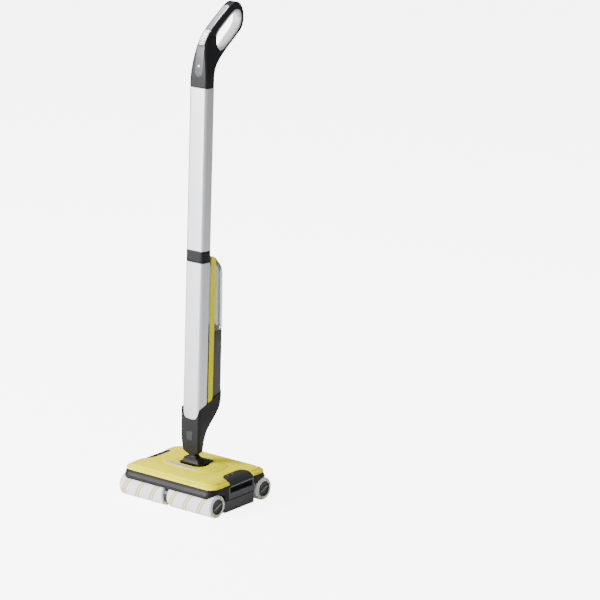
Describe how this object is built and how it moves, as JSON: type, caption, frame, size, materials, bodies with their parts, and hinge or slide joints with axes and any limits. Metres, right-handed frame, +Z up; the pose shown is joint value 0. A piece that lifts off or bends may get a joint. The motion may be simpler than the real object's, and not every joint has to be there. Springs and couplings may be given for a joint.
{
  "type": "wet dry floor scrubber",
  "caption": "Upright cordless floor washer: a wide head on two pairs of microfibre rollers, slide-out dirty water tanks, and a tilting stick with a fresh water tank and loop handle.",
  "frame": {"origin": "on the floor, under the middle of the whole machine's box", "axes": "+Z up, X along the rollers, -Y to the front, away from the user"},
  "size_m": [0.3, 0.2976, 1.2176],
  "materials": {
    "cover_yellow": "bright yellow semi-gloss moulded plastic",
    "body_dark": "dark grey satin moulded plastic",
    "body_graphite": "graphite moulded plastic",
    "tube_silver": "satin anodised aluminium",
    "trim_silver": "silver painted plastic trim",
    "lining_grey": "light grey soft plastic",
    "sleeve_fleece": "white microfibre pile with yellow stripes",
    "tank_smoke": "smoke grey clear plastic",
    "steel": "turned steel",
    "nylon": "natural nylon",
    "rubber": "black rubber",
    "board": "green circuit board",
    "battery": "blue shrink-wrapped cells"
  },
  "bodies": {
    "head": {"head_chassis": "body_dark", "head_cover": "cover_yellow", "cover_badge": "trim_silver", "base_plate": "body_graphite", "gear_case_left": "body_dark", "gear_case_right": "body_dark", "drive_motor": "steel", "joint_base": "body_dark", "tilt_pin": "steel", "front_bush_left": "nylon", "front_bush_right": "nylon", "rear_bush_left": "nylon", "rear_bush_right": "nylon", "front_scraper": "rubber", "rear_scraper": "rubber"},
    "front_rollers": {"front_axle": "steel", "front_axle_gear": "nylon", "front_roller_core_left": "body_graphite", "front_roller_core_right": "body_graphite", "front_roller_sleeve_left": "sleeve_fleece", "front_roller_sleeve_right": "sleeve_fleece", "front_roller_cap_left": "body_dark", "front_roller_cap_right": "body_dark"},
    "rear_rollers": {"rear_axle": "steel", "rear_axle_gear": "nylon", "rear_roller_core_left": "body_graphite", "rear_roller_core_right": "body_graphite", "rear_roller_sleeve_left": "sleeve_fleece", "rear_roller_sleeve_right": "sleeve_fleece", "rear_roller_cap_left": "body_dark", "rear_roller_cap_right": "body_dark"},
    "idler_1": {"idler_gear_1": "nylon"},
    "idler_2": {"idler_gear_2": "nylon"},
    "idler_3": {"idler_gear_3": "nylon"},
    "idler_4": {"idler_gear_4": "nylon"},
    "pinion": {"motor_pinion": "nylon"},
    "dirty_tank_left": {"dirty_tank_left": "body_graphite"},
    "dirty_tank_right": {"dirty_tank_right": "body_graphite"},
    "latch_left": {"tank_latch_left": "body_dark"},
    "latch_right": {"tank_latch_right": "body_dark"},
    "knuckle": {"joint_knuckle": "body_dark"},
    "stick": {"neck_housing": "body_dark", "lower_tube": "tube_silver", "tube_collar": "body_dark", "upper_tube": "tube_silver", "back_cover": "body_dark", "accent_frame": "cover_yellow", "battery_pack": "battery", "control_board": "board", "water_pump": "body_graphite", "supply_hose": "rubber", "handle_shell_left": "body_dark", "handle_shell_right": "body_dark", "handle_lining": "lining_grey", "handle_trim": "trim_silver", "control_panel": "lining_grey"},
    "fresh_tank": {"fresh_tank": "tank_smoke"},
    "tank_cap": {"tank_cap": "body_dark"},
    "power_button": {"power_button": "body_dark"},
    "boost_button": {"boost_button": "body_dark"}
  },
  "joints": [
    {"name": "front_roller_spin", "type": "hinge", "parent": "head", "child": "front_rollers", "pos_m": [0, -0.1198, 0.029], "axis": [1, 0, 0], "continuous": true},
    {"name": "idler_1_spin", "type": "hinge", "parent": "head", "child": "idler_1", "pos_m": [0, -0.0846, 0.029], "axis": [1, 0, 0], "continuous": true},
    {"name": "idler_2_spin", "type": "hinge", "parent": "head", "child": "idler_2", "pos_m": [0, -0.0494, 0.029], "axis": [1, 0, 0], "continuous": true},
    {"name": "idler_3_spin", "type": "hinge", "parent": "head", "child": "idler_3", "pos_m": [0, -0.0142, 0.029], "axis": [1, 0, 0], "continuous": true},
    {"name": "idler_4_spin", "type": "hinge", "parent": "head", "child": "idler_4", "pos_m": [0, 0.021, 0.029], "axis": [1, 0, 0], "continuous": true},
    {"name": "rear_roller_spin", "type": "hinge", "parent": "head", "child": "rear_rollers", "pos_m": [0, 0.0562, 0.029], "axis": [1, 0, 0], "continuous": true},
    {"name": "pinion_spin", "type": "hinge", "parent": "head", "child": "pinion", "pos_m": [0, -0.0142, 0.05247], "axis": [1, 0, 0], "continuous": true},
    {"name": "stick_tilt", "type": "hinge", "parent": "head", "child": "knuckle", "pos_m": [0, -0.0351, 0.104], "axis": [-1, 0, 0], "range_deg": [0, 60]},
    {"name": "stick_swivel", "type": "hinge", "parent": "knuckle", "child": "stick", "pos_m": [0, -0.03441, 0.11898], "axis": [0, 0.9989, -0.0462], "range_deg": [-30, 30]},
    {"name": "dirty_tank_right_slide", "type": "slide", "parent": "head", "child": "dirty_tank_right", "axis": [1, 0, 0], "range_m": [0, 0.09]},
    {"name": "dirty_tank_left_slide", "type": "slide", "parent": "head", "child": "dirty_tank_left", "axis": [-1, 0, 0], "range_m": [0, 0.09]},
    {"name": "latch_right_press", "type": "hinge", "parent": "head", "child": "latch_right", "pos_m": [0.144, -0.0318, 0.0695], "axis": [0, -1, 0], "range_deg": [0, 3], "stiffness_Nm_per_rad": 1.5},
    {"name": "latch_left_press", "type": "hinge", "parent": "head", "child": "latch_left", "pos_m": [-0.144, -0.0318, 0.0695], "axis": [0, 1, 0], "range_deg": [0, 3], "stiffness_Nm_per_rad": 1.5},
    {"name": "fresh_tank_slide", "type": "slide", "parent": "stick", "child": "fresh_tank", "axis": [0, 0.9989, -0.0462], "range_m": [0, 0.08]},
    {"name": "tank_cap_turn", "type": "hinge", "parent": "fresh_tank", "child": "tank_cap", "pos_m": [0, 0.02655, 0.41949], "axis": [0, 0.0462, 0.9989], "range_deg": [0, 90]},
    {"name": "power_button_press", "type": "slide", "parent": "stick", "child": "power_button", "axis": [0, 0.5922, -0.8058], "range_m": [0, 0.0012], "stiffness_N_per_m": 1700},
    {"name": "boost_button_press", "type": "slide", "parent": "stick", "child": "boost_button", "axis": [0, 0.9668, -0.2555], "range_m": [0, 0.0012], "stiffness_N_per_m": 1700}
  ],
  "couplings": [
    {"joint": "idler_1_spin", "follows": "front_roller_spin", "ratio": -1},
    {"joint": "idler_2_spin", "follows": "front_roller_spin", "ratio": 1},
    {"joint": "idler_3_spin", "follows": "front_roller_spin", "ratio": -1},
    {"joint": "idler_4_spin", "follows": "front_roller_spin", "ratio": 1},
    {"joint": "rear_roller_spin", "follows": "front_roller_spin", "ratio": -1},
    {"joint": "pinion_spin", "follows": "front_roller_spin", "ratio": 3}
  ]
}
